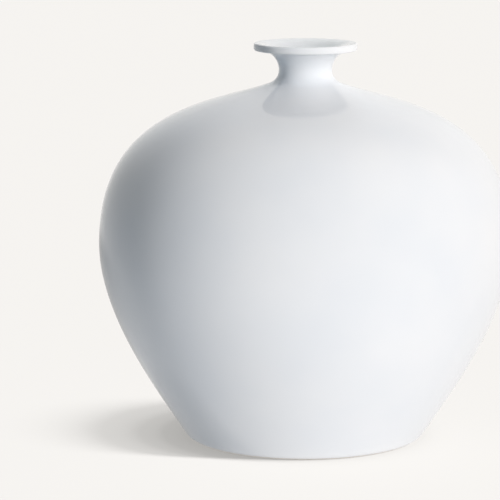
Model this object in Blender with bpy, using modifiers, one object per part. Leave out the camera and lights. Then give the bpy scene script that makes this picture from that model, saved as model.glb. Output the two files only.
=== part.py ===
"""White porcelain vase: a wide belly on a narrow foot, a short neck and a flared mouth.

The clay is thrown in sections that are luted together with slip, and a coat of glaze covers each
side of the wall. Lengths are in metres and +Z is up. The origin is the centre of the foot, on the
table. Every piece is turned about the Z axis from an outline of (radius, height) points.
"""

import math

import bpy
from mathutils import Vector

MM = 0.001

# Foot and floor
FOOT_DIAMETER = 151.0 * MM  # outer edge of the flat ring that stands on the table
FOOT_RING_WIDTH = 6.0 * MM  # width of that flat ring
FOOT_RING_DRAFT = 3.0 * MM  # lean of the ring's inner side between the table and the floor
FOOT_HEIGHT = 5.0 * MM  # height of the foot ring, and the depth of the hollow inside it
FOOT_EDGE_ROUND = 8.5 * MM  # radius that rolls the outer wall under to the flat ring
FLOOR_THICKNESS = 5.0 * MM

# Outer outline, as the glazed vase measures
FOOT_WALL_ANGLE = math.radians(57.5)  # lean of the wall above the foot, from level
BELLY_DIAMETER = 280.0 * MM
BELLY_HEIGHT = 133.5 * MM  # height of the widest place above the table
SHOULDER_RISE = 108.0 * MM  # from the belly up to where the neck stands
SHOULDER_SLOPE = math.radians(20.5)  # lean of the shoulder at the neck, from level
NECK_DIAMETER = 36.0 * MM  # at its narrowest place
COVE_RISE = 9.5 * MM  # from the shoulder up to the narrowest place of the neck
COVE_RUN = 7.5 * MM  # from the neck out to where its cove meets the shoulder
FLARE_RISE = 14.0 * MM  # from the narrowest place up to the underside of the lip
FLARE_RUN = 17.0 * MM  # from the neck out to the lip

# Fullness of each curve: the reach of its tangent, as a share of that curve's own rise or run
FOOT_FULLNESS = 0.23
BELLY_FULLNESS_BELOW = 0.38
BELLY_FULLNESS_ABOVE = 0.84
SHOULDER_FULLNESS = 0.35
COVE_FULLNESS_LOW = 0.36
COVE_FULLNESS_HIGH = 0.65
FLARE_FULLNESS_LOW = 0.59
FLARE_FULLNESS_HIGH = 0.54

# Clay wall, glaze and joints
WALL_AT_FOOT = 4.4 * MM
WALL_AT_LIP = 2.6 * MM
LIP_CLAY_ROUND = 0.4 * MM  # radius of the lip's edges in the clay, before the glaze rounds them off
GLAZE_THICKNESS = 0.5 * MM
GLAZE_LINE_HEIGHT = 1.6 * MM  # the outer glaze is wiped off below this height
SLIP_GAP = 0.3 * MM  # film of slip between two pieces
SEAM_BEVEL = 1.0 * MM  # climb of the belly seam and the neck seam from outside to inside
NECK_SEAT_DROP = 2.0 * MM  # fall of the seat that the neck stands in from outside to inside
COIL_HEIGHT = 8.0 * MM  # groove inside the belly seam that the coil fills
COIL_DEPTH = 2.0 * MM

# Facets
TURN_STEPS = 40
LOWER_WALL_STEPS = 7
SHOULDER_STEPS = 9
COVE_STEPS = 4
FLARE_STEPS = 6
EDGE_STEPS = 2
BARE_EDGE_STEPS = 3
MERGE_DISTANCE = 0.01 * MM
SHARP_ANGLE = math.radians(35.0)

# Sizes that follow from those above
FOOT_RADIUS = FOOT_DIAMETER / 2
BELLY_RADIUS = BELLY_DIAMETER / 2
NECK_RADIUS = NECK_DIAMETER / 2
NECK_FOOT_RADIUS = NECK_RADIUS + COVE_RUN
COAT = GLAZE_THICKNESS + SLIP_GAP
LIP_EDGE_ROUND = LIP_CLAY_ROUND + COAT
LIP_ROUND_RADIUS = NECK_RADIUS + FLARE_RUN - LIP_EDGE_ROUND
SHOULDER_TOP = BELLY_HEIGHT + SHOULDER_RISE
NECK_HEIGHT = SHOULDER_TOP + COVE_RISE
LIP_UNDERSIDE = NECK_HEIGHT + FLARE_RISE
LIP_TOP = LIP_UNDERSIDE + COAT + WALL_AT_LIP + COAT
FLOOR_UNDERSIDE = FOOT_HEIGHT + SLIP_GAP
FLOOR_TOP = FLOOR_UNDERSIDE + FLOOR_THICKNESS
WALL_FOOT = FLOOR_TOP + SLIP_GAP
INNER_GLAZE_UNDERSIDE = FLOOR_TOP + SLIP_GAP
INNER_GLAZE_TOP = INNER_GLAZE_UNDERSIDE + GLAZE_THICKNESS
FOOT_EDGE_CENTRE = Vector((FOOT_RADIUS, FOOT_EDGE_ROUND))
FOOT_EDGE_START = -math.pi / 2
FOOT_EDGE_END = FOOT_EDGE_START + FOOT_WALL_ANGLE
GLAZE_LINE_ANGLE = math.asin(GLAZE_LINE_HEIGHT / FOOT_EDGE_ROUND - 1)


def clear_scene():
    """Remove every object from the scene."""
    for old in list(bpy.data.objects):
        bpy.data.objects.remove(old, do_unlink=True)


def arc(centre, radius, start, end, segments):
    """Stations, each a point and its outward normal, on a round edge between two angles."""
    stations = []
    for step in range(segments + 1):
        angle = start + (end - start) * step / segments
        normal = Vector((math.cos(angle), math.sin(angle)))
        stations.append((centre + radius * normal, normal))
    return stations


def curve(start, start_handle, end_handle, end, segments):
    """Stations on a cubic curve that climbs the outside of the vase."""
    stations = []
    for step in range(segments + 1):
        t = step / segments
        s = 1 - t
        point = s**3 * start + 3 * s * s * t * start_handle + 3 * s * t * t * end_handle + t**3 * end
        slope = s * s * (start_handle - start) + 2 * s * t * (end_handle - start_handle)
        slope += t * t * (end - end_handle)
        stations.append((point, Vector((slope.y, -slope.x)).normalized()))
    return stations


def along(angle, reach):
    """A step of a given reach in the direction of an angle above level."""
    return reach * Vector((math.cos(angle), math.sin(angle)))


def joined(*runs):
    """One run of stations from several that meet end to start."""
    stations = list(runs[0])
    for run in runs[1:]:
        stations += run[1:]
    return stations


def foot_edge(start, end, segments):
    """Stations on the round edge between the flat of the foot and the wall."""
    return arc(FOOT_EDGE_CENTRE, FOOT_EDGE_ROUND, start, end, segments)


def lower_wall():
    """Stations from the round edge of the foot up to the belly, where the wall is upright."""
    start = FOOT_EDGE_CENTRE + along(FOOT_EDGE_END, FOOT_EDGE_ROUND)
    end = Vector((BELLY_RADIUS, BELLY_HEIGHT))
    rise = end.y - start.y
    start_handle = start + along(FOOT_WALL_ANGLE, FOOT_FULLNESS * rise)
    end_handle = end - Vector((0, BELLY_FULLNESS_BELOW * rise))
    return curve(start, start_handle, end_handle, end, LOWER_WALL_STEPS)


def shoulder():
    """Stations from the belly over the shoulder to the foot of the neck."""
    start = Vector((BELLY_RADIUS, BELLY_HEIGHT))
    end = Vector((NECK_FOOT_RADIUS, SHOULDER_TOP))
    start_handle = start + Vector((0, BELLY_FULLNESS_ABOVE * SHOULDER_RISE))
    end_handle = end - along(math.pi - SHOULDER_SLOPE, SHOULDER_FULLNESS * (start.x - end.x))
    return curve(start, start_handle, end_handle, end, SHOULDER_STEPS)


def cove():
    """Stations from the shoulder, through the hollow of the cove, to the upright neck."""
    start = Vector((NECK_FOOT_RADIUS, SHOULDER_TOP))
    end = Vector((NECK_RADIUS, NECK_HEIGHT))
    start_handle = start + along(math.pi - SHOULDER_SLOPE, COVE_FULLNESS_LOW * (start.x - end.x))
    end_handle = end - Vector((0, COVE_FULLNESS_HIGH * COVE_RISE))
    return curve(start, start_handle, end_handle, end, COVE_STEPS)


def flare():
    """Stations from the upright neck out to the level underside of the lip."""
    start = Vector((NECK_RADIUS, NECK_HEIGHT))
    end = Vector((LIP_ROUND_RADIUS, LIP_UNDERSIDE))
    start_handle = start + Vector((0, FLARE_FULLNESS_LOW * FLARE_RISE))
    end_handle = end - Vector((FLARE_FULLNESS_HIGH * (end.x - start.x), 0))
    return curve(start, start_handle, end_handle, end, FLARE_STEPS)


def lip_edge():
    """Stations round the lower and the upper edge of the lip, with its upright band between them."""
    low = Vector((LIP_ROUND_RADIUS, LIP_UNDERSIDE + LIP_EDGE_ROUND))
    high = Vector((LIP_ROUND_RADIUS, LIP_TOP - LIP_EDGE_ROUND))
    under = arc(low, LIP_EDGE_ROUND, -math.pi / 2, 0, EDGE_STEPS)
    return under + arc(high, LIP_EDGE_ROUND, 0, math.pi / 2, EDGE_STEPS)


def wall_thickness(height):
    """Thickness of the clay, which thins evenly from the foot to the lip."""
    return WALL_AT_FOOT + (WALL_AT_LIP - WALL_AT_FOOT) * height / LIP_UNDERSIDE


def sunk(stations, depth):
    """Path of points that lie a given depth below the glazed surface."""
    return [point - depth * normal for point, normal in stations]


def inner_path(stations, depth):
    """Path of points that lie a given depth inside the clay's inner surface."""
    return [point - (COAT + wall_thickness(point.y) + depth) * normal for point, normal in stations]


def point_at(path, height):
    """Point at a height on a path that climbs."""
    for low, high in zip(path, path[1:]):
        if low.y <= height <= high.y:
            return low.lerp(high, (height - low.y) / (high.y - low.y))
    raise ValueError(f"no point at height {height}")


def between(path, low, high):
    """Stretch of a climbing path between two heights, ends included."""
    inside = [point for point in path if low < point.y < high]
    return [point_at(path, low)] + inside + [point_at(path, high)]


def above(path, low):
    """Stretch of a path above a height, which it crosses once."""
    inside = [point for point in path if point.y > low]
    return [point_at(path, low)] + inside


def pulled_back(path, gap):
    """The path with its last point drawn back along it by a gap."""
    back = (path[-2] - path[-1]).normalized()
    return path[:-1] + [path[-1] + gap * back]


GLAZED_EDGE = foot_edge(GLAZE_LINE_ANGLE, FOOT_EDGE_END, EDGE_STEPS)
WALL = joined(GLAZED_EDGE, lower_wall(), shoulder(), cove(), flare())
CLAY_OUTSIDE = sunk(WALL, COAT)
CLAY_INSIDE = inner_path(WALL, 0)


def finish(name, colour, roughness):
    """Plain material of one piece."""
    material = bpy.data.materials.new(name + "_finish")
    material.use_nodes = True
    shader = material.node_tree.nodes["Principled BSDF"]
    shader.inputs["Base Color"].default_value = (*colour, 1.0)
    shader.inputs["Roughness"].default_value = roughness
    shader.inputs["Metallic"].default_value = 0.0
    material.diffuse_color = (*colour, 1.0)
    return material


def turned(name, outline, material, collection):
    """One piece, turned about Z from an outline that runs down its outer side.

    An outline with both ends on the axis is left open there, and any other is closed into a ring.
    """
    points = [(point.x, 0.0, point.y) for point in outline]
    edges = [(index, index + 1) for index in range(len(points) - 1)]
    if outline[0].x > 0:
        edges.append((len(points) - 1, 0))
    profile = bpy.data.meshes.new(name + "_outline")
    profile.from_pydata(points, edges, [])
    piece = bpy.data.objects.new(name, profile)
    collection.objects.link(piece)
    screw = piece.modifiers.new("Turn", "SCREW")
    screw.axis = "Z"
    screw.angle = math.tau
    screw.steps = TURN_STEPS
    screw.render_steps = TURN_STEPS
    screw.use_merge_vertices = True
    screw.merge_threshold = MERGE_DISTANCE
    solid = bpy.data.meshes.new_from_object(piece.evaluated_get(bpy.context.evaluated_depsgraph_get()))
    piece.modifiers.clear()
    piece.data = solid
    bpy.data.meshes.remove(profile)
    solid.name = name
    solid.shade_smooth()
    solid.set_sharp_from_angle(angle=SHARP_ANGLE)
    solid.materials.append(material)
    return piece


def ring_outline(outer, inner):
    """Closed outline of a wall, from its outer and inner paths, which both climb."""
    return outer[::-1] + inner


def foot_ring_outline():
    """Ring under the floor: bare and round below the glaze line, and flat where it stands."""
    bare_top = GLAZE_LINE_ANGLE - SLIP_GAP / FOOT_EDGE_ROUND
    bare = foot_edge(FOOT_EDGE_START, bare_top, BARE_EDGE_STEPS)
    under_glaze = [point for point in CLAY_OUTSIDE if point.y < FOOT_HEIGHT]
    outer = sunk(bare, 0) + sunk(bare[-1:], COAT) + under_glaze + [point_at(CLAY_OUTSIDE, FOOT_HEIGHT)]
    contact = FOOT_RADIUS - FOOT_RING_WIDTH
    inner = [Vector((contact, 0)), Vector((contact - FOOT_RING_DRAFT, FOOT_HEIGHT))]
    return ring_outline(outer, inner)


def base_floor_outline():
    """Floor slab, whose rim carries on the slope of the wall."""
    rim = between(CLAY_OUTSIDE, FLOOR_UNDERSIDE, FLOOR_TOP)
    return [Vector((0, FLOOR_TOP))] + rim[::-1] + [Vector((0, FLOOR_UNDERSIDE))]


def coil_groove():
    """Apex of the groove inside the belly seam, and the heights of its lower and upper edge."""
    outer = point_at(CLAY_OUTSIDE, BELLY_HEIGHT)
    inner = point_at(CLAY_INSIDE, BELLY_HEIGHT + SEAM_BEVEL)
    apex = inner.lerp(outer, COIL_DEPTH / (outer - inner).length)
    return apex, apex.y - COIL_HEIGHT / 2, apex.y + COIL_HEIGHT / 2


def lower_body_outline():
    """Lower bowl, from the floor to its bevelled and grooved rim at the belly."""
    half_gap = Vector((0, SLIP_GAP / 2))
    apex, groove_low, _ = coil_groove()
    outer = between(CLAY_OUTSIDE, WALL_FOOT, BELLY_HEIGHT - half_gap.y)
    inner = between(CLAY_INSIDE, WALL_FOOT, groove_low)
    return ring_outline(outer + [apex - half_gap], inner)


def upper_body_outline():
    """Upper bowl, from its rim at the belly to the sloping seat that the neck stands in."""
    half_gap = Vector((0, SLIP_GAP / 2))
    apex, _, groove_high = coil_groove()
    outer = between(CLAY_OUTSIDE, BELLY_HEIGHT + half_gap.y, SHOULDER_TOP - half_gap.y)
    inner = between(CLAY_INSIDE, groove_high, SHOULDER_TOP - NECK_SEAT_DROP - half_gap.y)
    return ring_outline([apex + half_gap] + outer, inner)


def waist_coil_outline():
    """Coil that fills the groove, flush with the clay inside the belly."""
    apex, groove_low, groove_high = coil_groove()
    half_height = COIL_HEIGHT / 2
    slant = math.hypot(half_height, COIL_DEPTH)
    tip = apex - Vector((SLIP_GAP * slant / half_height, 0))
    trim = SLIP_GAP * slant / COIL_DEPTH
    return [tip] + between(CLAY_INSIDE, groove_low + trim, groove_high - trim)


def neck_outline():
    """Collar from its seat in the shoulder to the narrowest place."""
    half_gap = SLIP_GAP / 2
    outer = between(CLAY_OUTSIDE, SHOULDER_TOP + half_gap, NECK_HEIGHT - half_gap)
    low = SHOULDER_TOP - NECK_SEAT_DROP + half_gap
    inner = between(CLAY_INSIDE, low, NECK_HEIGHT + SEAM_BEVEL - half_gap)
    return ring_outline(outer, inner)


def mouth_rim_outline():
    """Flared mouth from the narrowest place out to the lip."""
    half_gap = SLIP_GAP / 2
    outer = above(CLAY_OUTSIDE, NECK_HEIGHT + half_gap) + sunk(lip_edge(), COAT)[1:]
    inner = above(CLAY_INSIDE, NECK_HEIGHT + SEAM_BEVEL + half_gap)
    return ring_outline(outer[:-1], inner)


def outer_glaze_outline():
    """Coat over the outside, from the glaze line to the top of the lip."""
    coat = joined(WALL, lip_edge())
    return ring_outline(sunk(coat, 0), sunk(coat, GLAZE_THICKNESS))


def inner_glaze_outline():
    """Coat inside, which meets the outer one on the lip and closes across the floor."""
    clay_side = above(pulled_back(inner_path(WALL, SLIP_GAP), SLIP_GAP), INNER_GLAZE_UNDERSIDE)
    open_side = above(pulled_back(inner_path(WALL, COAT), SLIP_GAP), INNER_GLAZE_TOP)
    start = [Vector((0, INNER_GLAZE_TOP))]
    return start + open_side + clay_side[::-1] + [Vector((0, INNER_GLAZE_UNDERSIDE))]


# Each finish is a linear colour and a roughness
BISQUE = ((0.80, 0.79, 0.76), 0.60)
BARE_FOOT = ((0.78, 0.76, 0.72), 0.65)
SOFT_COIL = ((0.79, 0.78, 0.75), 0.65)
GLAZE = ((0.86, 0.88, 0.90), 0.08)

PIECES = (
    ("foot_ring", foot_ring_outline, BARE_FOOT),
    ("base_floor", base_floor_outline, BISQUE),
    ("lower_body", lower_body_outline, BISQUE),
    ("waist_coil", waist_coil_outline, SOFT_COIL),
    ("upper_body", upper_body_outline, BISQUE),
    ("neck", neck_outline, BISQUE),
    ("mouth_rim", mouth_rim_outline, BISQUE),
    ("outer_glaze", outer_glaze_outline, GLAZE),
    ("inner_glaze", inner_glaze_outline, GLAZE),
)


def main():
    """Build every piece of the vase in its own collection."""
    clear_scene()
    collection = bpy.data.collections.new("ceramic_vase")
    bpy.context.scene.collection.children.link(collection)
    for name, outline, (colour, roughness) in PIECES:
        turned(name, outline(), finish(name, colour, roughness), collection)


if __name__ == "__main__":
    main()
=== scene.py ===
"""Looks of a white glazed porcelain vase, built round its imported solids.

Every piece is turned about the Z axis from an outline of (radius, height) points. Lengths are in
metres, +Z is up, and the origin is the centre of the foot, on the table.
"""

import logging
import math
from abc import ABC, abstractmethod
from dataclasses import dataclass
from enum import Enum
from typing import Any

import bmesh
import bpy
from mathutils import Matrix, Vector


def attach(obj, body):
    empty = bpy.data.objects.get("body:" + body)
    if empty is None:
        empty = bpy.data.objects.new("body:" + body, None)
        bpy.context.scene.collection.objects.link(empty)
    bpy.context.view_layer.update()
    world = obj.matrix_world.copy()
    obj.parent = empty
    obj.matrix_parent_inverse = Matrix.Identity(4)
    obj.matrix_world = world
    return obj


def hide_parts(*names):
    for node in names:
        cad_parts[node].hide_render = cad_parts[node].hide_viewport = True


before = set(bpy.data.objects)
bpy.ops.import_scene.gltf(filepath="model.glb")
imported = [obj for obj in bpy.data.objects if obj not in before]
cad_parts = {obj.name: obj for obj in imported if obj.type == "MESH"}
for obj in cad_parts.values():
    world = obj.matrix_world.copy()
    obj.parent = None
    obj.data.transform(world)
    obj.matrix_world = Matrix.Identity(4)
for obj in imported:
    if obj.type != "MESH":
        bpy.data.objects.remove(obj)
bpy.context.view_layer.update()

MM = 0.001
WAVE_BANDS = 10 / math.pi  # bands that Blender's wave pattern draws on a metre at scale 1
BODY = "root"
DEPTH_ATTRIBUTE = "glaze_depth"
LOG = logging.getLogger("ceramic_vase")

Station = tuple[Vector, Vector]
Profile = list[Vector]


class Slot(Enum):
    """Material slots of the record."""

    BARE = "bare_porcelain"
    BISQUE = "bisque_porcelain"
    LUTING = "luting_clay"
    GLAZE = "white_glaze"


def linear(colour: str) -> tuple[float, float, float, float]:
    """Linear colour with full alpha from an sRGB hex value.

    Args:
        colour: hex value such as "#F6F4F0".

    Returns:
        Red, green, blue and alpha.
    """
    channels = [int(colour[index : index + 2], 16) / 255 for index in (1, 3, 5)]
    red, green, blue = (c / 12.92 if c <= 0.04045 else ((c + 0.055) / 1.055) ** 2.4 for c in channels)
    return red, green, blue, 1.0


def smooth_step(low: float, high: float, value: float) -> float:
    """Share from 0 at the low value to 1 at the high value, with level ends.

    Args:
        low: value that gives 0.
        high: value that gives 1.
        value: value between them.

    Returns:
        The share.
    """
    share = min(max((value - low) / (high - low), 0.0), 1.0)
    return share * share * (3 - 2 * share)


def add_node(
    tree: bpy.types.NodeTree,
    kind: str,
    settings: dict[str, Any] | None = None,
    inputs: dict[str | int, Any] | None = None,
) -> bpy.types.Node:
    """Add one node with its settings, its values and its links.

    Args:
        tree: node tree that gets the node.
        kind: Blender's type name of the node.
        settings: attributes to set.
        inputs: a value, or the output socket to link from, for each input socket.

    Returns:
        The new node.
    """
    node = tree.nodes.new(kind)
    for key, value in (settings or {}).items():
        setattr(node, key, value)
    for key, value in (inputs or {}).items():
        if isinstance(value, bpy.types.NodeSocket):
            tree.links.new(value, node.inputs[key])
        else:
            node.inputs[key].default_value = value
    return node


def new_material(name: str) -> tuple[bpy.types.Material, bpy.types.NodeTree]:
    """An empty node material.

    Args:
        name: name of the material.

    Returns:
        The material and its node tree.
    """
    material = bpy.data.materials.new(name)
    material.use_nodes = True
    material.node_tree.nodes.clear()
    return material, material.node_tree


@dataclass(frozen=True)
class ClearGlaze:
    """Clear gloss glaze over white porcelain, dipped and fired.

    The glaze runs off edges and gathers in hollows, so it is whiter where it is thin and cooler where
    it is deep. It melts to a mirror gloss with the faint ripple of an orange skin.
    """

    thin_colour: str = "#F2F3F3"
    deep_colour: str = "#E6EAEE"
    roughness_low: float = 0.015
    roughness_high: float = 0.035
    ior: float = 1.5
    body_roughness: float = 0.35  # of the clay that shows through
    cloud_size: float = 60.0 * MM  # patches where the dip left more or less glaze
    cloud_share: float = 0.22
    hollow_share: float = 0.30
    ripple_size: float = 3.0 * MM
    ripple_height: float = 0.001 * MM
    noise_low: float = 0.3  # nearly all of a noise pattern lies between these two
    noise_high: float = 0.7

    def material(self) -> bpy.types.Material:
        """Node material of the glaze.

        Returns:
            The material.
        """
        material, tree = new_material("clear_gloss_glaze_on_porcelain")
        place = add_node(tree, "ShaderNodeTexCoord").outputs["Object"]
        cloud = add_node(
            tree,
            "ShaderNodeTexNoise",
            inputs={"Vector": place, "Scale": 1 / self.cloud_size, "Detail": 2.0, "Roughness": 0.45},
        )
        ripple = add_node(
            tree,
            "ShaderNodeTexNoise",
            inputs={"Vector": place, "Scale": 1 / self.ripple_size, "Detail": 1.0, "Roughness": 0.4},
        )
        hollow = add_node(tree, "ShaderNodeAttribute", {"attribute_name": DEPTH_ATTRIBUTE})
        patches = add_node(
            tree,
            "ShaderNodeMapRange",
            inputs={
                "Value": cloud.outputs["Fac"],
                "From Min": self.noise_low,
                "From Max": self.noise_high,
                "To Min": 0.5 - self.cloud_share,
                "To Max": 0.5 + self.cloud_share,
            },
        )
        depth = add_node(
            tree,
            "ShaderNodeMath",
            {"operation": "MULTIPLY_ADD", "use_clamp": True},
            {0: hollow.outputs["Fac"], 1: self.hollow_share, 2: patches.outputs["Result"]},
        )
        colour = add_node(
            tree,
            "ShaderNodeMix",
            {"data_type": "RGBA"},
            {
                "Factor": depth.outputs["Value"],
                "A": linear(self.thin_colour),
                "B": linear(self.deep_colour),
            },
        )
        roughness = add_node(
            tree,
            "ShaderNodeMapRange",
            inputs={
                "Value": cloud.outputs["Fac"],
                "From Min": self.noise_low,
                "From Max": self.noise_high,
                "To Min": self.roughness_low,
                "To Max": self.roughness_high,
            },
        )
        bump = add_node(
            tree,
            "ShaderNodeBump",
            inputs={"Height": ripple.outputs["Fac"], "Strength": 1.0, "Distance": self.ripple_height},
        )
        shader = add_node(
            tree,
            "ShaderNodeBsdfPrincipled",
            inputs={
                "Base Color": colour.outputs["Result"],
                "Roughness": roughness.outputs["Result"],
                "IOR": self.ior,
                "Diffuse Roughness": self.body_roughness,
                "Normal": bump.outputs["Normal"],
            },
        )
        add_node(tree, "ShaderNodeOutputMaterial", inputs={"Surface": shader.outputs["BSDF"]})
        return material


@dataclass(frozen=True)
class FiredClay:
    """Fired porcelain clay without glaze, as it left the wheel.

    It is a matt warm white with a fine sandy grain and the level lines that the fingers or the turning
    tool left.
    """

    name: str
    light_colour: str
    dark_colour: str
    grain_size: float = 0.6 * MM  # drawn coarser than the true grit so that it shows
    grain_height: float = 0.02 * MM
    line_pitch: float = 1.4 * MM
    line_height: float = 0.03 * MM
    line_waver: float = 1.5
    roughness_low: float = 0.50
    roughness_high: float = 0.70
    ior: float = 1.5

    def material(self) -> bpy.types.Material:
        """Node material of the clay.

        Returns:
            The material.
        """
        material, tree = new_material(self.name)
        place = add_node(tree, "ShaderNodeTexCoord").outputs["Object"]
        grain = add_node(
            tree,
            "ShaderNodeTexNoise",
            inputs={"Vector": place, "Scale": 1 / self.grain_size, "Detail": 3.0, "Roughness": 0.6},
        )
        lines = add_node(
            tree,
            "ShaderNodeTexWave",
            {"wave_type": "BANDS", "bands_direction": "Z", "wave_profile": "SIN"},
            {
                "Vector": place,
                "Scale": 1 / (WAVE_BANDS * self.line_pitch),
                "Distortion": self.line_waver,
                "Detail": 1.0,
                "Detail Scale": 0.6,
            },
        )
        colour = add_node(
            tree,
            "ShaderNodeMix",
            {"data_type": "RGBA"},
            {
                "Factor": grain.outputs["Fac"],
                "A": linear(self.light_colour),
                "B": linear(self.dark_colour),
            },
        )
        roughness = add_node(
            tree,
            "ShaderNodeMapRange",
            inputs={
                "Value": grain.outputs["Fac"],
                "To Min": self.roughness_low,
                "To Max": self.roughness_high,
            },
        )
        fingers = add_node(
            tree,
            "ShaderNodeBump",
            inputs={"Height": lines.outputs["Fac"], "Strength": 1.0, "Distance": self.line_height},
        )
        sandy = add_node(
            tree,
            "ShaderNodeBump",
            inputs={
                "Height": grain.outputs["Fac"],
                "Strength": 1.0,
                "Distance": self.grain_height,
                "Normal": fingers.outputs["Normal"],
            },
        )
        shader = add_node(
            tree,
            "ShaderNodeBsdfPrincipled",
            inputs={
                "Base Color": colour.outputs["Result"],
                "Roughness": roughness.outputs["Result"],
                "IOR": self.ior,
                "Normal": sandy.outputs["Normal"],
            },
        )
        add_node(tree, "ShaderNodeOutputMaterial", inputs={"Surface": shader.outputs["BSDF"]})
        return material


Finish = ClearGlaze | FiredClay

# Smooth warm white with close, faint lines, where the glaze was wiped off and the foot rubbed down
BARE_FOOT = FiredClay("unglazed_porcelain_rubbed_smooth", "#E9E5DD", "#D9D2C6")

# Matt white with wide finger ridges
BISQUE_BODY = FiredClay(
    "bisque_porcelain_thrown", "#E8E6E2", "#DCD9D2", line_pitch=4.0 * MM, line_height=0.1 * MM
)

# Slightly greyer, with the smear of the finger that pressed it in
LUTING_COIL = FiredClay("porcelain_coil_pressed", "#E6E4DF", "#D8D5CE", line_pitch=2.5 * MM)


@dataclass(frozen=True)
class VaseForm:
    """Sizes of the glazed vase and the curves of its outline."""

    foot_diameter: float = 151.0 * MM
    foot_edge_round: float = 8.5 * MM
    foot_wall_angle: float = math.radians(57.5)
    belly_diameter: float = 280.0 * MM
    belly_height: float = 133.5 * MM
    shoulder_rise: float = 108.0 * MM
    shoulder_slope: float = math.radians(20.5)
    neck_diameter: float = 36.0 * MM
    cove_rise: float = 9.5 * MM
    cove_run: float = 7.5 * MM
    flare_rise: float = 14.0 * MM
    flare_run: float = 17.0 * MM
    lip_edge_round: float = 1.2 * MM
    wall_at_foot: float = 4.4 * MM
    wall_at_lip: float = 2.6 * MM
    glaze_thickness: float = 0.5 * MM
    slip_gap: float = 0.3 * MM
    seam_bevel: float = 1.0 * MM  # rise of a seam from the outside of the clay to the inside
    seat_drop: float = 2.0 * MM  # fall of the neck's seat from the outside of the clay to the inside
    glaze_line_height: float = 1.6 * MM
    floor_underside: float = 5.3 * MM
    floor_thickness: float = 5.0 * MM

    # Reach of each curve's tangent, as a share of that curve's own rise or run
    foot_fullness: float = 0.23
    belly_fullness_below: float = 0.38
    belly_fullness_above: float = 0.84
    shoulder_fullness: float = 0.35
    cove_fullness_low: float = 0.36
    cove_fullness_high: float = 0.65
    flare_fullness_low: float = 0.59
    flare_fullness_high: float = 0.54

    # Stretches that each curve is drawn with
    edge_steps: int = 10
    lower_wall_steps: int = 40
    shoulder_steps: int = 48
    cove_steps: int = 18
    flare_steps: int = 24

    @property
    def coat(self) -> float:
        """Depth of the clay below the glazed surface."""
        return self.glaze_thickness + self.slip_gap

    @property
    def foot_radius(self) -> float:
        """Outer radius of the flat ring that stands on the table."""
        return self.foot_diameter / 2

    @property
    def neck_radius(self) -> float:
        """Radius of the neck at its narrowest place."""
        return self.neck_diameter / 2

    @property
    def shoulder_top(self) -> float:
        """Height at which the neck stands on the shoulder."""
        return self.belly_height + self.shoulder_rise

    @property
    def neck_height(self) -> float:
        """Height of the neck's narrowest place."""
        return self.shoulder_top + self.cove_rise

    @property
    def lip_underside(self) -> float:
        """Height of the level underside of the lip."""
        return self.neck_height + self.flare_rise

    @property
    def lip_top(self) -> float:
        """Height of the top of the lip."""
        return self.lip_underside + 2 * self.coat + self.wall_at_lip

    @property
    def lip_round_radius(self) -> float:
        """Radius at which the lip's rounded edge begins."""
        return self.neck_radius + self.flare_run - self.lip_edge_round

    @property
    def floor_top(self) -> float:
        """Height of the top of the clay floor."""
        return self.floor_underside + self.floor_thickness

    @property
    def foot_edge_centre(self) -> Vector:
        """Centre of the round edge that rolls the wall under to the foot."""
        return Vector((self.foot_radius, self.foot_edge_round))

    @property
    def foot_edge_end(self) -> float:
        """Angle at which the foot's round edge meets the wall."""
        return self.foot_wall_angle - math.pi / 2

    @property
    def glaze_line_angle(self) -> float:
        """Angle on the foot's round edge at which the glaze ends."""
        return math.asin(self.glaze_line_height / self.foot_edge_round - 1)

    def arc(self, centre: Vector, radius: float, start: float, end: float, steps: int) -> list[Station]:
        """Stations on a round edge.

        Args:
            centre: centre of the edge.
            radius: radius of the edge.
            start: angle of the first station.
            end: angle of the last station.
            steps: stretches to draw it with.

        Returns:
            Points with their outward normals.
        """
        stations = []
        for step in range(steps + 1):
            angle = start + (end - start) * step / steps
            normal = Vector((math.cos(angle), math.sin(angle)))
            stations.append((centre + radius * normal, normal))
        return stations

    def curve(self, start: Vector, first: Vector, second: Vector, end: Vector, steps: int) -> list[Station]:
        """Stations on a cubic curve that climbs the outside of the vase.

        Args:
            start: first point of the curve.
            first: handle of the first point.
            second: handle of the last point.
            end: last point of the curve.
            steps: stretches to draw it with.

        Returns:
            Points with their outward normals.
        """
        stations = []
        for step in range(steps + 1):
            t = step / steps
            s = 1 - t
            point = s**3 * start + 3 * s * s * t * first + 3 * s * t * t * second + t**3 * end
            slope = s * s * (first - start) + 2 * s * t * (second - first) + t * t * (end - second)
            stations.append((point, Vector((slope.y, -slope.x)).normalized()))
        return stations

    def foot_edge(self, start: float, end: float, steps: int) -> list[Station]:
        """Stations on the foot's round edge between two angles."""
        return self.arc(self.foot_edge_centre, self.foot_edge_round, start, end, steps)

    def lower_wall(self) -> list[Station]:
        """Stations from the foot's round edge up to the belly.

        Returns:
            Points with their outward normals.
        """
        lean = Vector((math.sin(self.foot_wall_angle), -math.cos(self.foot_wall_angle)))
        start = self.foot_edge_centre + self.foot_edge_round * lean
        end = Vector((self.belly_diameter / 2, self.belly_height))
        rise = end.y - start.y
        climb = Vector((math.cos(self.foot_wall_angle), math.sin(self.foot_wall_angle)))
        first = start + self.foot_fullness * rise * climb
        second = end - Vector((0, self.belly_fullness_below * rise))
        return self.curve(start, first, second, end, self.lower_wall_steps)

    def shoulder_fall(self, reach: float) -> Vector:
        """A step inwards and up along the slope of the shoulder."""
        return reach * Vector((-math.cos(self.shoulder_slope), math.sin(self.shoulder_slope)))

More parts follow.
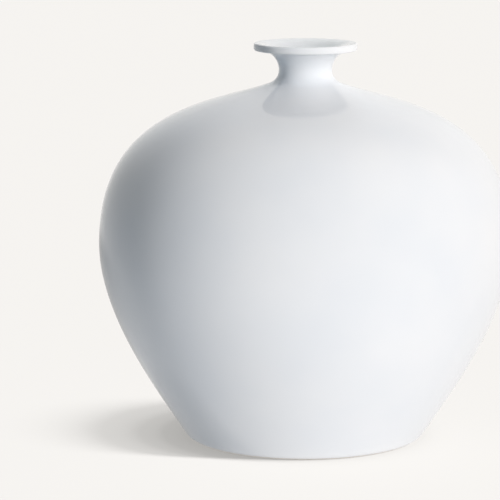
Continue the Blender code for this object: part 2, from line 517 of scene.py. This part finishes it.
    def shoulder(self) -> list[Station]:
        """Stations from the belly over the shoulder to the foot of the neck.

        Returns:
            Points with their outward normals.
        """
        start = Vector((self.belly_diameter / 2, self.belly_height))
        end = Vector((self.neck_radius + self.cove_run, self.shoulder_top))
        first = start + Vector((0, self.belly_fullness_above * self.shoulder_rise))
        second = end - self.shoulder_fall(self.shoulder_fullness * (start.x - end.x))
        return self.curve(start, first, second, end, self.shoulder_steps)

    def cove(self) -> list[Station]:
        """Stations from the shoulder through the hollow below the neck.

        Returns:
            Points with their outward normals.
        """
        start = Vector((self.neck_radius + self.cove_run, self.shoulder_top))
        end = Vector((self.neck_radius, self.neck_height))
        first = start + self.shoulder_fall(self.cove_fullness_low * self.cove_run)
        second = end - Vector((0, self.cove_fullness_high * self.cove_rise))
        return self.curve(start, first, second, end, self.cove_steps)

    def flare(self) -> list[Station]:
        """Stations from the narrow neck out to the level underside of the lip.

        Returns:
            Points with their outward normals.
        """
        start = Vector((self.neck_radius, self.neck_height))
        end = Vector((self.lip_round_radius, self.lip_underside))
        first = start + Vector((0, self.flare_fullness_low * self.flare_rise))
        second = end - Vector((self.flare_fullness_high * (end.x - start.x), 0))
        return self.curve(start, first, second, end, self.flare_steps)

    def lip_edge(self) -> list[Station]:
        """Stations round the lip's lower and upper edge, with its upright band between them.

        Returns:
            Points with their outward normals.
        """
        low = Vector((self.lip_round_radius, self.lip_underside + self.lip_edge_round))
        high = Vector((self.lip_round_radius, self.lip_top - self.lip_edge_round))
        under = self.arc(low, self.lip_edge_round, -math.pi / 2, 0.0, self.edge_steps)
        return under + self.arc(high, self.lip_edge_round, 0.0, math.pi / 2, self.edge_steps)

    def wall(self) -> list[Station]:
        """Stations on the glazed outside, from the glaze line to the underside of the lip.

        Returns:
            Points with their outward normals.
        """
        runs = [
            self.foot_edge(self.glaze_line_angle, self.foot_edge_end, self.edge_steps),
            self.lower_wall(),
            self.shoulder(),
            self.cove(),
            self.flare(),
        ]
        stations = list(runs[0])
        for run in runs[1:]:
            stations += run[1:]
        return stations

    def clay_thickness(self, height: float) -> float:
        """Thickness of the clay, which thins evenly from the foot to the lip."""
        return self.wall_at_foot + (self.wall_at_lip - self.wall_at_foot) * height / self.lip_underside

    def sunk(self, stations: list[Station], depth: float) -> Profile:
        """Points that lie a given depth below the glazed outside."""
        return [point - depth * normal for point, normal in stations]

    def inside(self, depth: float) -> Profile:
        """Points that lie a given depth inside the clay's inner surface."""
        return [
            point - (self.coat + self.clay_thickness(point.y) + depth) * normal
            for point, normal in self.wall()
        ]


def point_at(path: Profile, height: float) -> Vector:
    """Point at a height on a path that climbs.

    Args:
        path: points that climb.
        height: height to find.

    Returns:
        The point.

    Raises:
        ValueError: if the path doesn't reach that height.
    """
    for low, high in zip(path, path[1:]):
        if low.y <= height <= high.y:
            return low.lerp(high, (height - low.y) / (high.y - low.y))
    raise ValueError(f"no point at height {height}")


def between(path: Profile, low: float, high: float) -> Profile:
    """Stretch of a climbing path between two heights, ends included."""
    inner = [point for point in path if low < point.y < high]
    return [point_at(path, low)] + inner + [point_at(path, high)]


def above(path: Profile, low: float) -> Profile:
    """Stretch of a path above a height, which it crosses once."""
    return [point_at(path, low)] + [point for point in path if point.y > low]


def hollowness(path: Profile, side: int, reach: float, passes: int) -> list[float]:
    """How hollow the surface is at each point of a climbing path, which is where glaze gathers.

    Args:
        path: points that climb.
        side: 1 where the surface faces away from the axis, -1 where it faces the axis.
        reach: radius of bend that counts as tight.
        passes: times that each value is evened out with its neighbours.

    Returns:
        A value for each point, near -1 on a tight edge and near 1 in a tight hollow.
    """
    values = [0.0]
    for before, here, after in zip(path, path[1:], path[2:]):
        come, go = here - before, after - here
        turn = math.atan2(come.x * go.y - come.y * go.x, come.dot(go))
        values.append(-side * math.tanh(reach * 2 * turn / (come.length + go.length)))
    values.append(0.0)
    for _ in range(passes):
        inner = [(a + 2 * b + c) / 4 for a, b, c in zip(values, values[1:], values[2:])]
        values = [values[0]] + inner + [values[-1]]
    return values


@dataclass(frozen=True)
class TurnedPiece:
    """A piece turned on the wheel, with the solid it stands for and its slot.

    An outline with both ends on the axis is left open there, and any other is closed into a ring. The
    depths are how much glaze gathers at each point of the outline.
    """

    name: str
    node: str
    slot: Slot
    outline: Profile
    depths: list[float] | None = None
    turn_steps: int = 192
    merge_distance: float = 0.002 * MM
    sharp_angle: float = math.radians(35.0)

    def build(self) -> bpy.types.Object:
        """Turn the outline about Z and set the piece in the frame.

        Returns:
            The piece.
        """
        shape = bmesh.new()
        layer = shape.verts.layers.float.new(DEPTH_ATTRIBUTE) if self.depths else None
        corners = [shape.verts.new((point.x, 0.0, point.y)) for point in self.outline]
        for corner, depth in zip(corners, self.depths or []):
            corner[layer] = depth
        edges = [shape.edges.new(pair) for pair in zip(corners, corners[1:])]
        if self.outline[0].x > 0:
            edges.append(shape.edges.new((corners[-1], corners[0])))
        bmesh.ops.spin(
            shape,
            geom=corners + edges,
            axis=(0.0, 0.0, 1.0),
            cent=(0.0, 0.0, 0.0),
            angle=math.tau,
            steps=self.turn_steps,
            use_merge=True,
        )
        bmesh.ops.remove_doubles(shape, verts=shape.verts[:], dist=self.merge_distance)
        bmesh.ops.recalc_face_normals(shape, faces=shape.faces[:])
        mesh = bpy.data.meshes.new(self.name)
        shape.to_mesh(mesh)
        shape.free()
        mesh.shade_smooth()
        mesh.set_sharp_from_angle(angle=self.sharp_angle)
        piece = bpy.data.objects.new(self.name, mesh)
        bpy.context.scene.collection.objects.link(piece)
        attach(piece, BODY)
        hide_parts(self.node)
        LOG.info("%s stands for %s with %d faces", self.name, self.node, len(mesh.polygons))
        return piece


@dataclass
class SubAssembly(ABC):
    """Turned pieces that belong together, with one finish each."""

    form: VaseForm

    @abstractmethod
    def plans(self) -> list[TurnedPiece]:
        """Pieces of the sub-assembly, in the order they are made."""

    @abstractmethod
    def finishes(self) -> dict[Slot, Finish]:
        """Finish of each slot that the pieces use."""

    def build(self) -> list[bpy.types.Object]:
        """Build every piece and set it in the frame."""
        return [plan.build() for plan in self.plans()]

    def dress(self, pieces: list[bpy.types.Object]) -> None:
        """Give every piece the finish of its slot.

        Args:
            pieces: what build returned.
        """
        made = {slot: finish.material() for slot, finish in self.finishes().items()}
        for plan, piece in zip(self.plans(), pieces):
            piece.data.materials.append(made[plan.slot])


@dataclass
class Foot(SubAssembly):
    """Turned ring that stands on the table, and the floor slab on it."""

    ring_width: float = 6.0 * MM
    ring_draft: float = 3.0 * MM
    height: float = 5.0 * MM
    inner_round: float = 0.8 * MM
    bare_below: float = 0.5 * MM  # up to here the clay is flush with the outline
    glazed_above: float = 2.2 * MM  # from here the clay lies below the full coat
    edge_steps: int = 24

    def ring_outline(self) -> Profile:
        """Outline of the ring: flat where it stands, round outside and drafted inside.

        Returns:
            Points of a closed outline.
        """
        form = self.form
        outer = []
        for point, normal in form.foot_edge(-math.pi / 2, form.foot_edge_end, self.edge_steps):
            sink = form.coat * smooth_step(self.bare_below, self.glazed_above, point.y)
            outer.append(point - sink * normal)
        clay = form.sunk(form.wall(), form.coat)
        outer += [point for point in clay if outer[-1].y < point.y < self.height]
        outer.append(point_at(clay, self.height))
        contact = form.foot_radius - self.ring_width
        centre = Vector((contact + self.inner_round, self.inner_round))
        lean = math.atan2(self.ring_draft, self.height)
        edge = form.arc(centre, self.inner_round, -math.pi / 2, -math.pi - lean, form.edge_steps)
        inner = [point for point, _ in edge] + [Vector((contact - self.ring_draft, self.height))]
        return outer[::-1] + inner

    def floor_outline(self) -> Profile:
        """Outline of the floor slab, whose rim carries on the slope of the wall.

        Returns:
            Points from the axis out and back to it.
        """
        form = self.form
        rim = between(form.sunk(form.wall(), form.coat), form.floor_underside, form.floor_top)
        return [Vector((0, form.floor_top))] + rim[::-1] + [Vector((0, form.floor_underside))]

    def plans(self) -> list[TurnedPiece]:
        """Pieces of the foot."""
        return [
            TurnedPiece("foot_ring_turned", "foot_ring", Slot.BARE, self.ring_outline()),
            TurnedPiece("base_floor_slab", "base_floor", Slot.BISQUE, self.floor_outline()),
        ]

    def finishes(self) -> dict[Slot, Finish]:
        """Finish of each slot that the foot uses."""
        return {Slot.BARE: BARE_FOOT, Slot.BISQUE: BISQUE_BODY}


@dataclass
class Body(SubAssembly):
    """Two thrown bowls, luted rim to rim, with a coil pressed into the seam inside."""

    wall_foot: float = 10.6 * MM
    coil_height: float = 8.0 * MM
    coil_depth: float = 2.0 * MM

    def coil_groove(self) -> tuple[Vector, float, float]:
        """Groove inside the belly seam.

        Returns:
            Its apex, and the heights of its lower and upper edge.
        """
        form = self.form
        outer = point_at(form.sunk(form.wall(), form.coat), form.belly_height)
        inner = point_at(form.inside(0.0), form.belly_height + form.seam_bevel)
        apex = inner.lerp(outer, self.coil_depth / (outer - inner).length)
        return apex, apex.y - self.coil_height / 2, apex.y + self.coil_height / 2

    def lower_outline(self) -> Profile:
        """Outline of the lower bowl, from the floor to its grooved rim.

        Returns:
            Points of a closed outline.
        """
        form = self.form
        half_gap = Vector((0, form.slip_gap / 2))
        apex, groove_low, _ = self.coil_groove()
        clay = form.sunk(form.wall(), form.coat)
        outer = between(clay, self.wall_foot, form.belly_height - half_gap.y) + [apex - half_gap]
        return outer[::-1] + between(form.inside(0.0), self.wall_foot, groove_low)

    def upper_outline(self) -> Profile:
        """Outline of the upper bowl, from its grooved rim to the seat of the neck.

        Returns:
            Points of a closed outline.
        """
        form = self.form
        half_gap = Vector((0, form.slip_gap / 2))
        apex, _, groove_high = self.coil_groove()
        clay = form.sunk(form.wall(), form.coat)
        outer = between(clay, form.belly_height + half_gap.y, form.shoulder_top - half_gap.y)
        outer = [apex + half_gap] + outer
        seat = form.shoulder_top - form.seat_drop - half_gap.y
        return outer[::-1] + between(form.inside(0.0), groove_high, seat)

    def coil_outline(self) -> Profile:
        """Outline of the coil, flush with the clay inside the belly.

        Returns:
            Points of a closed outline.
        """
        form = self.form
        apex, groove_low, groove_high = self.coil_groove()
        half_height = self.coil_height / 2
        slant = math.hypot(half_height, self.coil_depth)
        tip = apex - Vector((form.slip_gap * slant / half_height, 0))
        trim = form.slip_gap * slant / self.coil_depth
        return [tip] + between(form.inside(0.0), groove_low + trim, groove_high - trim)

    def plans(self) -> list[TurnedPiece]:
        """Pieces of the body."""
        return [
            TurnedPiece("lower_body_thrown", "lower_body", Slot.BISQUE, self.lower_outline()),
            TurnedPiece("waist_coil_pressed", "waist_coil", Slot.LUTING, self.coil_outline()),
            TurnedPiece("upper_body_thrown", "upper_body", Slot.BISQUE, self.upper_outline()),
        ]

    def finishes(self) -> dict[Slot, Finish]:
        """Finish of each slot that the body uses."""
        return {Slot.BISQUE: BISQUE_BODY, Slot.LUTING: LUTING_COIL}


@dataclass
class Neck(SubAssembly):
    """Collar on the shoulder, and the flared mouth on the collar."""

    def collar_outline(self) -> Profile:
        """Outline of the collar, from its seat in the shoulder to the narrowest place.

        Returns:
            Points of a closed outline.
        """
        form = self.form
        half_gap = form.slip_gap / 2
        clay = form.sunk(form.wall(), form.coat)
        outer = between(clay, form.shoulder_top + half_gap, form.neck_height - half_gap)
        low = form.shoulder_top - form.seat_drop + half_gap
        high = form.neck_height + form.seam_bevel - half_gap
        return outer[::-1] + between(form.inside(0.0), low, high)

    def mouth_outline(self) -> Profile:
        """Outline of the mouth, from the narrowest place out to the lip.

        Returns:
            Points of a closed outline.
        """
        form = self.form
        half_gap = form.slip_gap / 2
        outer = above(form.sunk(form.wall(), form.coat), form.neck_height + half_gap)
        outer += form.sunk(form.lip_edge(), form.coat)[1:-1]
        return outer[::-1] + above(form.inside(0.0), form.neck_height + form.seam_bevel + half_gap)

    def plans(self) -> list[TurnedPiece]:
        """Pieces of the neck."""
        return [
            TurnedPiece("neck_collar_thrown", "neck", Slot.BISQUE, self.collar_outline()),
            TurnedPiece("mouth_rim_thrown", "mouth_rim", Slot.BISQUE, self.mouth_outline()),
        ]

    def finishes(self) -> dict[Slot, Finish]:
        """Finish of each slot that the neck uses."""
        return {Slot.BISQUE: BISQUE_BODY}


@dataclass
class Glaze(SubAssembly):
    """Coats of glaze outside and inside, which run together on the lip."""

    meeting_gap: float = 0.02 * MM
    roll_drop: float = 0.7 * MM  # glaze that ran down the lip hangs this far below its even coat
    roll_reach: float = 9.0 * MM  # from the lip inwards, where the roll fades out
    bead_steps: int = 8
    tight_bend: float = 10.0 * MM
    evening_passes: int = 4

    def outer_outline(self) -> tuple[Profile, list[float]]:
        """Outline of the outer coat, with a rounded bead where it ends above the table.

        Returns:
            Points of a closed outline, and how hollow the surface is at each.
        """
        form = self.form
        coat = form.wall() + form.lip_edge()[1:]
        face = [self.rolled(point) for point, _ in coat]
        back = form.sunk(coat, form.glaze_thickness)
        point, normal = coat[0]
        climb = Vector((-normal.y, normal.x))
        radius = form.glaze_thickness / 2
        centre = point - radius * normal
        bead = []
        for step in range(1, self.bead_steps):
            angle = math.pi * step / self.bead_steps
            bead.append(centre + radius * (math.cos(angle) * normal - math.sin(angle) * climb))
        depths = hollowness(face, 1, self.tight_bend, self.evening_passes)
        return face[::-1] + bead + back, depths[::-1] + [depths[0]] * len(bead) + depths

    def rolled(self, point: Vector) -> Vector:
        """A point of the outer coat, lowered by the roll of glaze under the lip.

        Args:
            point: point on the even coat.

        Returns:
            The lowered point.
        """
        form = self.form
        if point.y < form.neck_height:
            return point
        outwards = smooth_step(form.lip_round_radius - self.roll_reach, form.lip_round_radius, point.x)
        under = 1 - smooth_step(form.lip_underside, form.lip_top, point.y)
        return point - Vector((0, self.roll_drop * outwards * under))

    def inner_outline(self) -> tuple[Profile, list[float]]:
        """Outline of the inner coat, from the lip down and across the floor.

        Returns:
            Points from the axis out and back to it, and how hollow the surface is at each.
        """
        form = self.form
        bottom = form.floor_top + form.slip_gap
        top = bottom + form.glaze_thickness
        face = above(self.drawn_back(form.inside(form.coat)), top)
        back = above(self.drawn_back(form.inside(form.slip_gap)), bottom)
        depths = hollowness(face, -1, self.tight_bend, self.evening_passes)
        outline = [Vector((0, top))] + face + back[::-1] + [Vector((0, bottom))]
        return outline, [0.0] + depths + [0.0] * (len(back) + 1)

    def drawn_back(self, path: Profile) -> Profile:
        """The path with its last point drawn back by the gap between the coats."""
        return path[:-1] + [path[-1] + self.meeting_gap * (path[-2] - path[-1]).normalized()]

    def plans(self) -> list[TurnedPiece]:
        """Coats of glaze."""
        outer, outer_depths = self.outer_outline()
        inner, inner_depths = self.inner_outline()
        return [
            TurnedPiece("outer_glaze_coat", "outer_glaze", Slot.GLAZE, outer, outer_depths),
            TurnedPiece("inner_glaze_coat", "inner_glaze", Slot.GLAZE, inner, inner_depths),
        ]

    def finishes(self) -> dict[Slot, Finish]:
        """Finish of the glaze's slot."""
        return {Slot.GLAZE: ClearGlaze()}


@dataclass(frozen=True)
class Lamp:
    """A large softbox far away, flagged so that it lights only some of the objects.

    It takes up a part of the sky as wide as its spread, and it isn't mirrored in the glaze.
    """

    name: str
    azimuth: float  # to the right of the way from the vase to the camera, in degrees
    elevation: float  # above the floor, in degrees
    spread: float  # in degrees
    level: float  # brightness of a white surface that faces the lamp
    colour: str = "#FFFFFF"

    def direction(self) -> Vector:
        """Unit vector from the vase to the lamp."""
        across, up = math.radians(self.azimuth), math.radians(self.elevation)
        return Vector((math.sin(across) * math.cos(up), -math.cos(across) * math.cos(up), math.sin(up)))

    def build(self, lit: list[bpy.types.Object], shading: list[bpy.types.Object]) -> bpy.types.Object:
        """Hang the lamp.

        Args:
            lit: what the lamp lights.
            shading: what casts a shadow in its light.

        Returns:
            The lamp.
        """
        data = bpy.data.lights.new(self.name, "SUN")
        data.energy = math.pi * self.level
        data.angle = math.radians(self.spread)
        data.color = linear(self.colour)[:3]
        lamp = bpy.data.objects.new(self.name, data)
        lamp.rotation_euler = self.direction().to_track_quat("Z", "Y").to_euler()
        lamp.visible_glossy = False
        bpy.context.scene.collection.objects.link(lamp)
        lamp.light_linking.receiver_collection = gathered(f"{self.name}_lights", lit)
        lamp.light_linking.blocker_collection = gathered(f"{self.name}_shaded_by", shading)
        return lamp


def gathered(name: str, members: list[bpy.types.Object]) -> bpy.types.Collection:
    """A collection of objects, for a lamp to name.

    Args:
        name: name of the collection.
        members: objects to put in it.

    Returns:
        The collection.
    """
    collection = bpy.data.collections.new(name)
    for member in members:
        collection.objects.link(member)
    return collection


def seen_plainly(
    tree: bpy.types.NodeTree, mirrored: float | bpy.types.NodeSocket = 1.0
) -> bpy.types.NodeSocket:
    """Socket that tells what the camera sees from what lights the vase.

    It is 1 straight on and through glass, the mirrored share in a mirror image, and 0 for the rays
    that light a surface.

    Args:
        tree: node tree of a material or the world.
        mirrored: share that shows in a mirror image.

    Returns:
        The socket.
    """
    rays = add_node(tree, "ShaderNodeLightPath").outputs
    direct = add_node(
        tree,
        "ShaderNodeMath",
        {"operation": "MAXIMUM"},
        {0: rays["Is Camera Ray"], 1: rays["Is Transmission Ray"]},
    )
    seen = add_node(
        tree,
        "ShaderNodeMath",
        {"operation": "MULTIPLY_ADD", "use_clamp": True},
        {0: rays["Is Glossy Ray"], 1: mirrored, 2: direct.outputs["Value"]},
    )
    return seen.outputs["Value"]


@dataclass(frozen=True)
class PaintedShadeInMirror:
    """Painted shade on the paper behind the vase's left side, which only the glaze's mirror image shows at
    that edge.

    No lamp casts it: it is an oval painted on the floor that deepens from its edge to the middle.
    """

    place: tuple[float, float, float] = (-0.28, 0.5, 0.0)
    half_size: tuple[float, float, float] = (0.36, 0.6, 1.0)
    turn: float = math.radians(25.0)  # about Z
    fade: float = 0.6  # share of the way from the edge to the middle over which it deepens
    depth: float = 0.38  # share of the light that it takes away

    def light_left(self, tree: bpy.types.NodeTree) -> bpy.types.NodeSocket:
        """Share of the light that the painted shade leaves at each place of the floor.

        Args:
            tree: node tree of the floor's material.

        Returns:
            The socket that gives the share.
        """
        oval = add_node(
            tree,
            "ShaderNodeMapping",
            {"vector_type": "TEXTURE"},
            {
                "Vector": add_node(tree, "ShaderNodeTexCoord").outputs["Object"],
                "Location": self.place,
                "Rotation": (0.0, 0.0, self.turn),
                "Scale": self.half_size,
            },
        )
        inwards = add_node(
            tree,
            "ShaderNodeTexGradient",
            {"gradient_type": "SPHERICAL"},
            {"Vector": oval.outputs["Vector"]},
        )
        light = add_node(
            tree,
            "ShaderNodeMapRange",
            {"interpolation_type": "SMOOTHSTEP"},
            {
                "Value": inwards.outputs["Fac"],
                "From Max": self.fade,
                "To Min": 1.0,
                "To Max": 1 - self.depth,
            },
        )
        return light.outputs["Result"]


@dataclass
class Studio:
    """Camera at the photograph's viewing angle, a plain pale floor and soft light."""

    camera_place: tuple[float, float, float] = (0.0, -1.8808, 0.4474)
    camera_pitch: float = math.radians(9.647)
    camera_turn: float = math.radians(1.138)
    lens: float = 201.6  # in millimetres, as is the sensor's width
    sensor: float = 36.0
    paper: str = "#F6F4F0"
    paper_glow: float = 0.42  # share of the paper's white that no shadow darkens
    paper_lit: str = "#595857"  # the rest of it, under the floor's own lamps
    # painted shade on the paper, seen only in the glaze's mirror image
    shade: PaintedShadeInMirror = PaintedShadeInMirror()
    floor_half: float = 30.0
    floor_gap: float = 0.05 * MM
    ambient: float = 0.05  # strength of the even light from all round
    vase_lamps: tuple[Lamp, ...] = (
        Lamp("key_right", 41.0, 4.0, 14.0, 0.7, "#FFFBF9"),
        Lamp("side_above_right", 47.0, 30.0, 30.0, 0.365, "#FCFCFF"),
        Lamp("back_above", 180.0, 25.0, 20.0, 0.88, "#EFF5FF"),
        Lamp("overhead", 0.0, 80.0, 60.0, 0.12, "#FCFCFF"),
        Lamp("paper_below", -25.0, -70.0, 40.0, 0.45, "#FCFCFF"),
        Lamp("paper_left", -40.0, -4.0, 30.0, 0.15, "#DBEEFF"),
    )
    lining_lamp: Lamp = Lamp("mouth_bounce", -70.0, 10.0, 40.0, 0.3, "#F4FFF9")
    floor_lamps: tuple[Lamp, ...] = (
        Lamp("floor_above", 0.0, 90.0, 130.0, 0.727),
        Lamp("floor_high_right", 82.0, 33.0, 22.0, 1.362),
        Lamp("floor_side_right", 81.0, 16.0, 11.0, 4.59),
        Lamp("floor_low_right", 79.0, 7.6, 6.4, 19.28),
    )

    def build(
        self,
        vase: list[bpy.types.Object],
        foot: list[bpy.types.Object],
        lining: bpy.types.Object,
    ) -> None:
        """Build the camera, the floor and the light.

        Args:
            vase: every piece of the vase.
            foot: the pieces that cast the short shadow on the floor.
            lining: the coat inside the mouth, with a lamp for the light that its white walls trap.
        """
        self.build_camera()
        floor = self.build_floor()
        self.build_backdrop()
        for lamp in self.vase_lamps:
            lamp.build(vase, shading=vase)
        self.lining_lamp.build([lining], shading=vase)
        for lamp in self.floor_lamps:
            lamp.build([floor], shading=foot)
        bpy.context.scene.view_settings.view_transform = "Standard"

    def build_camera(self) -> None:
        """Place the camera where the photograph was taken from."""
        data = bpy.data.cameras.new("photograph_view")
        data.lens = self.lens
        data.sensor_width = self.sensor
        camera = bpy.data.objects.new("photograph_view", data)
        camera.location = self.camera_place
        camera.rotation_euler = (math.pi / 2 - self.camera_pitch, 0.0, self.camera_turn)
        bpy.context.scene.collection.objects.link(camera)
        bpy.context.scene.camera = camera

    def build_floor(self) -> bpy.types.Object:
        """Lay a wide sheet of pale paper under the vase.

        Returns:
            The floor.
        """
        shape = bmesh.new()
        bmesh.ops.create_grid(shape, x_segments=1, y_segments=1, size=self.floor_half)
        bmesh.ops.translate(shape, verts=shape.verts[:], vec=(0.0, 0.0, -self.floor_gap))
        mesh = bpy.data.meshes.new("paper_floor")
        shape.to_mesh(mesh)
        shape.free()
        # Even pale paper without gloss. The vase lamps with its name stand for the light that it
        # bounces, so the rays that light the vase find it black.
        material, tree = new_material("matt_backdrop_paper")
        glow = add_node(
            tree,
            "ShaderNodeEmission",
            inputs={"Color": linear(self.paper), "Strength": self.paper_glow},
        )
        sheet = add_node(tree, "ShaderNodeBsdfDiffuse", inputs={"Color": linear(self.paper_lit)})
        paper = add_node(
            tree, "ShaderNodeAddShader", inputs={0: glow.outputs["Emission"], 1: sheet.outputs["BSDF"]}
        )
        # The painted shade darkens the paper where the glaze mirrors it.
        shown = add_node(
            tree,
            "ShaderNodeMixShader",
            inputs={0: seen_plainly(tree, self.shade.light_left(tree)), 2: paper.outputs["Shader"]},
        )
        add_node(tree, "ShaderNodeOutputMaterial", inputs={"Surface": shown.outputs["Shader"]})
        material.cycles.emission_sampling = "NONE"
        mesh.materials.append(material)
        floor = bpy.data.objects.new("paper_floor", mesh)
        bpy.context.scene.collection.objects.link(floor)
        return floor

    def build_backdrop(self) -> None:
        """Show pale paper all round, and give the vase a little even light from it."""
        world = bpy.data.worlds.new("studio_backdrop")
        world.use_nodes = True
        tree = world.node_tree
        tree.nodes.clear()
        paper = linear(self.paper)
        light = add_node(tree, "ShaderNodeBackground", inputs={"Color": paper, "Strength": self.ambient})
        shown = add_node(tree, "ShaderNodeBackground", inputs={"Color": paper, "Strength": 1.0})
        mixed = add_node(
            tree,
            "ShaderNodeMixShader",
            inputs={
                0: seen_plainly(tree),
                1: light.outputs["Background"],
                2: shown.outputs["Background"],
            },
        )
        add_node(tree, "ShaderNodeOutputWorld", inputs={"Surface": mixed.outputs["Shader"]})
        bpy.context.scene.world = world


def check_nodes(parts: list[SubAssembly]) -> None:
    """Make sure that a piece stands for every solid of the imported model.

    Args:
        parts: the sub-assemblies of the vase.

    Raises:
        ValueError: if a solid has no piece.
    """
    left_out = set(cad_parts) - {plan.node for part in parts for plan in part.plans()}
    if left_out:
        raise ValueError(f"no piece stands for {sorted(left_out)}")


def main() -> None:
    """Build the vase from the foot up, glaze it and set it in its studio."""
    logging.basicConfig(level=logging.INFO, format="%(name)s: %(message)s")
    form = VaseForm()
    parts = [Foot(form), Body(form), Neck(form), Glaze(form)]
    check_nodes(parts)
    built = []
    for part in parts:
        pieces = part.build()
        part.dress(pieces)
        built.append(pieces)
    foot, *_, (_, inner_coat) = built
    vase = [piece for pieces in built for piece in pieces]
    Studio().build(vase, foot, lining=inner_coat)


if __name__ == "__main__":
    main()
